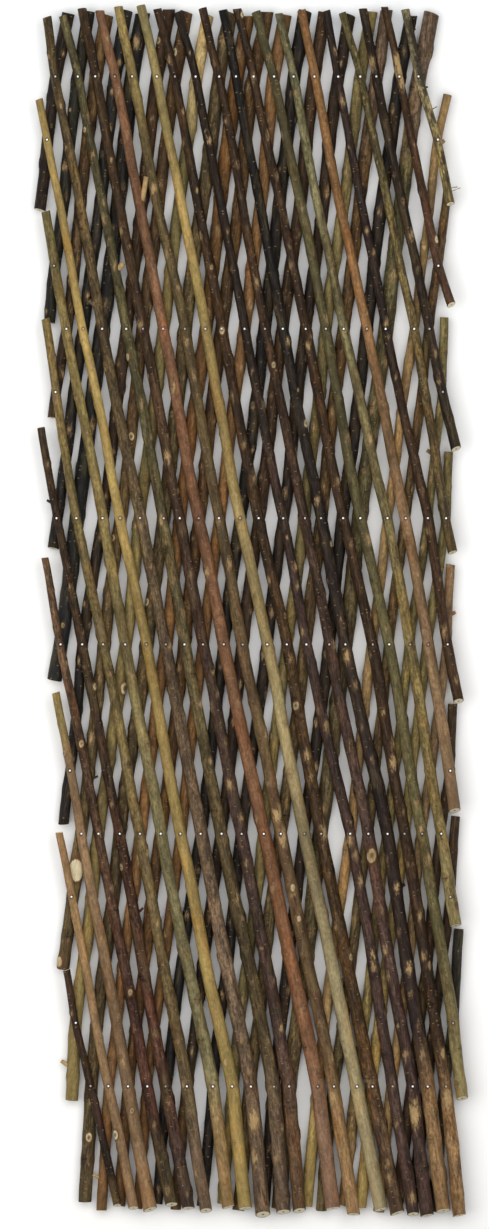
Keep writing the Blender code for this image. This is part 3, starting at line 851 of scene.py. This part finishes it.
def mixed(share, first, second, blend="MIX"):
    """Two colours mixed by a share."""
    inputs = {0: share, 6: first, 7: second}
    node = add(tree_of(inputs.values()), "ShaderNodeMix", inputs, data_type="RGBA", blend_type=blend)
    return node.outputs[2]


def tinted(base, share, *shade):
    """A colour multiplied by a shade where the share says so."""
    return mixed(share, base, mixed(1.0, base, (*shade, 1), "MULTIPLY"))


def lit(base, value):
    """A colour made lighter or darker."""
    grey = add(bark, "ShaderNodeCombineColor", {0: value, 1: value, 2: value}).outputs[0]
    return mixed(1.0, base, grey, "MULTIPLY")


fibre, blotch, tone, speck, crack, skin, hue, shred = (stretched(*values) for values in PATTERNS.values())
along = stored(bark, "along")
base = mixed(ramp(along, 0.15, 0.85), given["Lower colour"], given["Upper colour"])
base = mixed(ramp(along, 0.16, 0.05), base, given["Foot colour"])
base = mixed(ramp(along, 0.86, 0.95), base, given["Head colour"])
base = lit(base, ramp(tone, 0.3, 0.7, 0.68, 1.34))
base = tinted(base, times(ramp(hue, 0.52, 0.64), 0.75), 1.15, 0.99, 0.8)
base = tinted(base, times(ramp(hue, 0.48, 0.36), 0.75), 0.92, 0.97, 0.94)
depth = times(mottling, ramp(along, 0.02, 0.12, 0.6, 0.95))
for pattern, *limits in ((blotch, 0.4, 0.61, 0.38, 1.72), (speck, 0.4, 0.6, 0.4, 1.65)):
    base = lit(base, times_plus(minus(ramp(pattern, *limits), 1.0), depth, 1.0))
patches = times(ramp(skin, 0.5, 0.6), mottling)
base = mixed(times(patches, 0.8), base, given["Patch colour"])
base = tinted(base, times(ramp(fibre, 0.48, 0.36), times(streaks, 0.6)), 0.34, 0.31, 0.29)
base = mixed(times(times(ramp(fibre, 0.54, 0.68), streaks), 0.3), base, worn_tone)
fissure = times(ramp(maths("ABSOLUTE", minus(crack, 0.5)), 0.03, 0.0), mottling)
base = tinted(base, fissure, 0.25, 0.22, 0.2)
print("the bark group has", len(bark.nodes), "nodes so far")

# %% [markdown]
# ## What has happened to the bark, and where highlights are painted on it
# Bark breathes through pale flecks. Where rods rubbed on each other the thin outer skin has gone,
# with a ragged edge, and a few dark flakes of old bark still hang on. The same pale spots paint the
# highlight where a node's bulge catches the light. Knots have a dark ring, and a pale heart if they
# were cut. Rust darkens the bark round the nails.

# %% Flecks, worn spots with painted highlights, knots and rust
cells = vectors("MULTIPLY", given["Place"], (0.55, 1.25, 0.55))
cells = add(bark, "ShaderNodeTexVoronoi", {"Vector": cells, "Scale": 330.0}).outputs
chosen = add(bark, "ShaderNodeSeparateColor", {0: cells["Color"]}).outputs[0]
fleck = times(ramp(cells["Distance"], 0.3, 0.14), maths("GREATER_THAN", chosen, 0.8))
base = mixed(times(fleck, 0.5), base, worn_tone)

# Above zero a spot is worn bark with a painted highlight, below zero it is a dark flake
wear_and_highlight = stored(bark, "worn")
strength = times(wear_and_highlight, 1.0, clamp=True)
wider = times_plus(maths("POWER", strength, 4.0), 0.3, 1.0)
amount = times_plus(stored(bark, "stain"), wider, times(minus(shred, 0.5), 2.8))
# Painted highlight: a lighter orange margin round each pale spot
halo = times(ramp(amount, 0.35, 0.7), strength)
base = mixed(times(halo, 0.8), base, mixed(0.6, base, colour("orange tan")))
peel = ramp(minus(skin, times_plus(given["Peeling"], -0.3, 0.74)), 0.0, 0.03)
# Where bark peels, and where the pale spots paint worn bark and a node's highlight
worn = maths("MAXIMUM", peel, times(ramp(amount, 0.62, 0.95), strength))
bare_wood_and_highlight = mixed(ramp(times_plus(strength, 0.12, speck), 0.54, 0.7), worn_tone, colour("honey"))
bare_wood_and_highlight = mixed(maths("MAXIMUM", peel, ramp(amount, 0.5, 0.95)), colour("amber"), bare_wood_and_highlight)
base = mixed(times(worn, 0.85), base, bare_wood_and_highlight)
flake = times(ramp(amount, 0.3, 0.5), times(wear_and_highlight, -1.0, clamp=True))
base = mixed(times(flake, 0.85), base, colour("black brown"))

near_knot, pale, uneven = stored(bark, "knot"), stored(bark, "pale"), minus(blotch, 0.5)
wobble = times_plus(uneven, 0.5, near_knot)
ring = mixed(pale, mixed(1.0, base, (0.4, 0.34, 0.3, 1), "MULTIPLY"), colour("chestnut"))
shown = maths("MAXIMUM", times(mottling, 1.3), pale, clamp=True)
base = mixed(times(ramp(wobble, 0.08, 0.4), shown), base, ring)
heart = mixed(ramp(blotch, 0.4, 0.6), colour("fawn"), mixed(pale, colour("straw"), colour("cream")))
base = mixed(times(ramp(wobble, 0.42, 0.52), pale), base, heart)
pith = times(ramp(near_knot, 0.66, 0.8), times(ramp(pale, 0.35, 0.5), ramp(pale, 0.98, 0.93)))
base = mixed(times(pith, 0.8), base, colour("brown"))
bent = times_plus(uneven, 1.2, stored(bark, "rise"))
scar = times(ramp(maths("ABSOLUTE", bent), 0.16, 0.04), ramp(near_knot, 0.02, 0.2))
scar = times(scar, times(mottling, 1.5, clamp=True))
base = tinted(base, times(scar, minus(0.85, pale, clamp=True)), 0.2, 0.16, 0.14)
base = tinted(base, times(ramp(stored(bark, "nail"), 0.05, 0.4), 0.8), 0.35, 0.28, 0.24)

gloss = times_plus(fibre, 0.25, ramp(blotch, 0.3, 0.7, 0.4, 0.58))
relief = times_plus(fibre, 0.5, times(blotch, 0.6))
relief = minus(minus(relief, times(fissure, 0.6)), times(worn, 0.3))
relief = times_plus(fleck, 0.3, times_plus(speck, 0.25, relief))
feed(made, {"Colour": base, "Roughness": times_plus(worn, 0.12, gloss, clamp=True), "Height": relief})
print("the bark group has", len(bark.nodes), "nodes")

# %% [markdown]
# ## A material for each rod
# The shader itself stays in the material, and the group only feeds it colours and masks. A Mapping
# node turns the pattern to the rod's own lean, so that the fibres run along it.

# %% Bark materials
PALE_LOWER = ("golden", "pale green", "tan")


def new_material(name):
    """A new material, its shader and its Object coordinates."""
    material = bpy.data.materials.new(name)
    material.use_nodes = True
    tree = material.node_tree
    return material, tree.nodes["Principled BSDF"], add(tree, "ShaderNodeTexCoord").outputs["Object"]


def feed_shader(shader, base, roughness, height, strength, depth):
    """Feeds a shader its colour, its roughness and, through a Bump node, its relief."""
    inputs = {"Strength": strength, "Distance": depth, "Height": height}
    bump = add(shader.id_data, "ShaderNodeBump", inputs).outputs[0]
    feed(shader, {"Base Color": base, "Roughness": roughness, "Normal": bump})


def lean_of(name):
    """How far a rod leans from upright, in radians, to the left in front and to the right behind."""
    rod = measured[name]
    return math.atan2(rod["across"][-1] - rod["across"][0], rod["height"][0] - rod["height"][-1])


def bark_material(name):
    """The bark of one rod."""
    upper, lower, patch, mottling, streaks, peeling, head, foot = finish_of(name)
    tones = {"Upper": upper, "Lower": lower, "Patch": patch, "Head": head, "Foot": foot,
             "Worn": "straw" if lower in PALE_LOWER else "fawn"}
    material, shader, coords = new_material("bark of " + name)
    turned = {"Vector": coords, "Rotation": (0, 0, -lean_of(name))}
    inputs = {part + " colour": colour(tone) for part, tone in tones.items()}
    inputs.update(Place=add(shader.id_data, "ShaderNodeMapping", turned).outputs[0], Mottling=mottling,
                  Streaks=streaks, Peeling=peeling, Seed=RODS.index(name) * 1.37)
    group = add(shader.id_data, "ShaderNodeGroup", inputs, node_tree=bark).outputs
    feed_shader(shader, group["Colour"], group["Roughness"], group["Height"], 0.8, 0.9 * MM)
    feed(shader, {"Specular IOR Level": 0.2})
    return material


bark_materials = {name: bark_material(name) for name in RODS}
print(len(bark_materials), "bark materials")

# %% [markdown]
# ## Sawn willow
# A fresh cut shows a thin dark bark ring, pale wood with faint rays and a small brown pith. The
# rings that the skeleton carries say how far a point is from the middle, so the material can draw
# all of that on any end, whatever its size.

# %% The sawn wood material
sawn, shader, coords = new_material("sawn willow")
rim = stored(shader.id_data, "rim")
grain = noise(coords, 900.0, 5, 0.6, 2.0)
saw = noise(vectors("MULTIPLY", coords, (0.2, 1, 1.6)), 1400.0, 3, 0.6, 5.0)
base = mixed(ramp(grain, 0.3, 0.7), colour("cream"), colour("ivory"))
base = mixed(times(ramp(saw, 0.55, 0.8), 0.35), base, colour("tan"))
base = mixed(ramp(rim, 0.8, 0.94), base, colour("olive"))
base = mixed(ramp(rim, 0.24, 0.12), base, colour("brown"))
feed_shader(shader, base, ramp(grain, 0.2, 0.8, 0.6, 0.85), plus(grain, saw), 0.5, 0.3 * MM)
print("sawn wood ready")

# %% [markdown]
# ## Growing the rods
# The tree is put on each skeleton as a modifier, with that rod's own values. Its result is taken
# as a plain mesh, the modifier is dropped, and the piece takes the CAD rod's place and body.

# %% Grow all 54 rods
BODY_OF = {node: body for body, nodes in RECORD["behaviour"]["bodies"].items() for node in nodes}


def new_object(name, data, place=(0, 0, 0)):
    """A new object in the scene."""
    thing = bpy.data.objects.new(name, data)
    thing.location = place
    bpy.context.scene.collection.objects.link(thing)
    return thing


def made_with(tree, name, mesh, values):
    """A piece whose plain mesh is what a Geometry Nodes tree makes of a mesh and these inputs."""
    piece = new_object(name, mesh)
    modifier = piece.modifiers.new(tree.name, "NODES")
    modifier.node_group = tree
    keys = {item.name: item.identifier for item in tree.interface.items_tree if item.in_out == "INPUT"}
    for socket, value in values.items():
        modifier[keys[socket]] = value
    shape = bpy.data.meshes.new_from_object(piece.evaluated_get(bpy.context.evaluated_depsgraph_get()))
    piece.modifiers.clear()
    piece.data = shape
    return piece


def grow(name):
    """One finished rod."""
    even = finish_of(name)[0] in SMOOTH_TONES
    piece = made_with(rod_tree, "willow_" + name, skeleton(name), {
        "Ridge depth": (0.1 if even else 0.35) * MM, "Lump depth": (0.25 if even else 0.9) * MM,
        "Lean": -lean_of(name), "Seed": float(RODS.index(name)), "Layer": float(SIDE[name]),
        "Contact level": MIDDLE_LEVEL + SIDE[name] * LAYER_ROOM, "Bark": bark_materials[name],
        "Sawn wood": sawn})
    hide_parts(name)
    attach(piece, BODY_OF[name])
    return piece


rods = {name: grow(name) for name in RODS}
print("faces in the rods:", sum(len(rod.data.polygons) for rod in rods.values()))

# %% [markdown]
# ## Nails
# The nails are all alike, so one nail is built from a few faces and placed on 128 points by
# Geometry Nodes: a small flat head with a bevelled rim, a shank and a point. A random draw with a
# fixed seed turns and tips every head a little.

# %% Build the nail tree
HEAD_SIDES, SHANK_SIDES = 14, 8
nail_tree, given, made = new_group("wire nails", "Geometry", {
    "Points": "Geometry", "Head radius": 1.25 * MM, "Head height": 0.55 * MM, "Shank radius": 0.85 * MM,
    "Tip height": 2.2 * MM, "Tip over": 0.09, "Steel": "Material"}, {"Nails": "Geometry"})
nail_node = functools.partial(geometry, nail_tree)


def cone(sides, radius_top, radius_bottom, depth, open_side=None):
    """A turned shape that stands on the origin, open at one side if that is named."""
    inputs = {"Vertices": sides, "Radius Top": radius_top, "Radius Bottom": radius_bottom, "Depth": depth}
    shape = add(nail_tree, "GeometryNodeMeshCone", inputs).outputs
    if open_side is None:
        return shape["Mesh"]
    inputs = {"Geometry": shape["Mesh"], "Selection": shape[open_side]}
    return nail_node("DeleteGeometry", inputs, domain="FACE")


def moved(mesh, z, turn=(0.0, 0.0, 0.0)):
    """A shape moved up and turned."""
    up = add(nail_tree, "ShaderNodeCombineXYZ", {2: z}).outputs[0]
    return nail_node("Transform", {"Geometry": mesh, "Translation": up, "Rotation": turn})


def joined(*shapes):
    """Several shapes as one."""
    join = add(nail_tree, "GeometryNodeJoinGeometry")
    for shape in shapes:
        feed(join, {0: shape})
    return join.outputs[0]


head_radius, shank_radius, tip_over = given["Head radius"], given["Shank radius"], given["Tip over"]
half = times(given["Head height"], 0.5)
rim = cone(HEAD_SIDES, head_radius, times(head_radius, 0.82), half, "Top")
dome = moved(cone(HEAD_SIDES, times(head_radius, 0.55), head_radius, half, "Bottom"), half)
head = nail_node("MergeByDistance", {0: joined(rim, dome), "Distance": 1e-5})
shank = moved(cone(SHANK_SIDES, shank_radius, shank_radius, 1.0), -1.0)
point = moved(cone(SHANK_SIDES, 0.0, shank_radius, given["Tip height"]), 0.0, (math.pi, 0, 0))
swing = times(tip_over, -1.0)
limits = {"Seed": 7, 0: xyz(swing, swing, -3.0), 1: xyz(tip_over, tip_over, 3.0)}
turn = add(nail_tree, "FunctionNodeRandomValue", limits, data_type="FLOAT_VECTOR").outputs[0]
length = nail_node("InputNamedAttribute", {"Name": "length"}, data_type="FLOAT")
down = xyz(0.0, 0.0, times(length, -1.0))
tips = nail_node("SetPosition", {"Geometry": given["Points"], "Offset": down})
nail_parts = joined(*(nail_node("InstanceOnPoints", inputs) for inputs in (
    {"Points": given["Points"], "Instance": head, "Rotation": turn},
    {"Points": given["Points"], "Instance": shank, "Scale": xyz(1.0, 1.0, length)},
    {"Points": tips, "Instance": point})))
real = nail_node("RealizeInstances", {0: nail_parts})
feed(made, {"Nails": nail_node("SetMaterial", {"Geometry": real, "Material": given["Steel"]})})
print("the nail tree has", len(nail_tree.nodes), "nodes")

# %% [markdown]
# ## Nail steel
# Bright wire nails with a thin zinc skin: the skin is a little blotchy, and the hammer has
# scratched the heads. A few are duller than the rest.

# %% The steel material
BRIGHT_STEEL, DULL_STEEL = (0.74, 0.73, 0.71, 1), (0.3, 0.26, 0.22, 1)
steel, shader, coords = new_material("bright nail steel")
spots = noise(coords, 1500.0, 3, 0.6, 1.0)
dull = noise(coords, 45.0, 1, 0.5, 3.0)
base = mixed(ramp(dull, 0.48, 0.62), BRIGHT_STEEL, DULL_STEEL)
feed_shader(shader, base, ramp(spots, 0.3, 0.7, 0.28, 0.5), spots, 0.4, 0.1 * MM)
feed(shader, {"Metallic": 1.0})
print("steel ready")

# %% [markdown]
# ## Driving the nails
# A nail is driven from the front, through the front rod and into the back rod, which holds it. So
# each head sits where a ray from above meets the bark of the front rod, the shank is as long as
# the way from there down into the back rod, and the nails move with that back rod.

# %% Drive the nails
from mathutils import Vector
from mathutils.bvhtree import BVHTree

NAIL_BITE = 7 * MM
HEAD_SINK = 0.05 * MM
front_meshes = [rod.data for name, rod in rods.items() if SIDE[name] > 0]
front_trees = [BVHTree.FromPolygons([v.co for v in mesh.vertices], [p.vertices for p in mesh.polygons])
               for mesh in front_meshes]


def bark_above(across, height):
    """The level of the bark that a nail head rests on."""
    hits = [tree.ray_cast(Vector((across, height, 0.1)), Vector((0, 0, -1)))[0] for tree in front_trees]
    return max(hit.z for hit in hits if hit is not None)


def nail_piece(back_rod):
    """All nails that are fast in one back rod."""
    points = [(x, y, bark_above(x, y) - HEAD_SINK) for x, y in nails[back_rod]]
    mesh = bpy.data.meshes.new("nails of " + back_rod)
    mesh.from_pydata(points, [], [])
    lengths = [z - (MIDDLE_LEVEL - NAIL_BITE) for _, _, z in points]
    mesh.attributes.new("length", "FLOAT", "POINT").data.foreach_set("value", lengths)
    piece = made_with(nail_tree, "nails_of_" + back_rod, mesh, {"Steel": steel})
    if back_rod == ROOT:
        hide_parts(*NAIL_NODES)
    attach(piece, BODY_OF[back_rod])
    return piece


nail_pieces = [nail_piece(name) for name in nails]
print("faces in the nails:", sum(len(piece.data.polygons) for piece in nail_pieces))

# %% [markdown]
# ## Floor and light
# The photograph was taken under soft light that falls a little from the upper end: the rods have
# soft dark flanks, and the gaps between them are grey. One large softbox overhead gives that, with
# a dim world, and a small cool window lights the upper gaps. The floor is plain white paper.

# %% Floor and light
FLOOR_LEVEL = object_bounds()[0][2]
FLOOR_CORNERS = (-9, -9), (9, -9), (9, 9), (-9, 9)
PAPER, PALE_PAPER = (0.94, 0.935, 0.92, 1), (0.96, 0.955, 0.94, 1)
floor_mesh = bpy.data.meshes.new("studio floor")
floor_mesh.from_pydata([(x, y, FLOOR_LEVEL) for x, y in FLOOR_CORNERS], [], [(0, 1, 2, 3)])
floor = new_object("studio_floor", floor_mesh)
paper, shader, coords = new_material("white paper floor")
feed(shader, {"Base Color": mixed(noise(coords, 40.0, 4), PAPER, PALE_PAPER), "Roughness": 0.9})
floor_mesh.materials.append(paper)

world = bpy.data.worlds.new("studio")
world.use_nodes = True
feed(world.node_tree.nodes["Background"], {"Color": (1.0, 0.985, 0.965, 1), "Strength": 0.12})
bpy.context.scene.world = world
bpy.context.scene.view_settings.view_transform = "Standard"


def area_light(name, place, tilt, size, watts, tint=(1, 1, 1)):
    """A rectangular light that shines down, tilted by some degrees."""
    light = bpy.data.lights.new(name, "AREA")
    light.shape, light.energy, light.color = "RECTANGLE", watts, tint
    light.size, light.size_y = size
    new_object(name, light, place).rotation_euler = (math.radians(tilt), 0, 0)


area_light("large softbox", (-0.4, 0.12, 2.4), 0, (3.8, 2.8), 98)
area_light("cool window", (0, 1.6, 0.5), -70, (1.2, 0.4), 3, (0.6, 0.78, 1))
print("floor at", round(FLOOR_LEVEL / MM, 2), "mm")

# %% [markdown]
# ## Camera
# The photograph shows the trellis straight from the front, and nearly without perspective. The
# camera looks straight down from far away, and its long lens frames the picture's full height.

# %% Camera
PIXEL = 1.111 * MM
IMAGE_HIGH = 1229
VIEW_MIDDLE = (-0.0072, -0.0039)
CAMERA_HIGH = 6.0
SENSOR = 36

view = bpy.data.cameras.new("camera")
view.sensor_width = SENSOR
view.lens = SENSOR / (IMAGE_HIGH * PIXEL) * (CAMERA_HIGH - MIDDLE_LEVEL)
bpy.context.scene.camera = new_object("camera", view, (*VIEW_MIDDLE, CAMERA_HIGH))
print("lens", round(view.lens, 1), "mm")
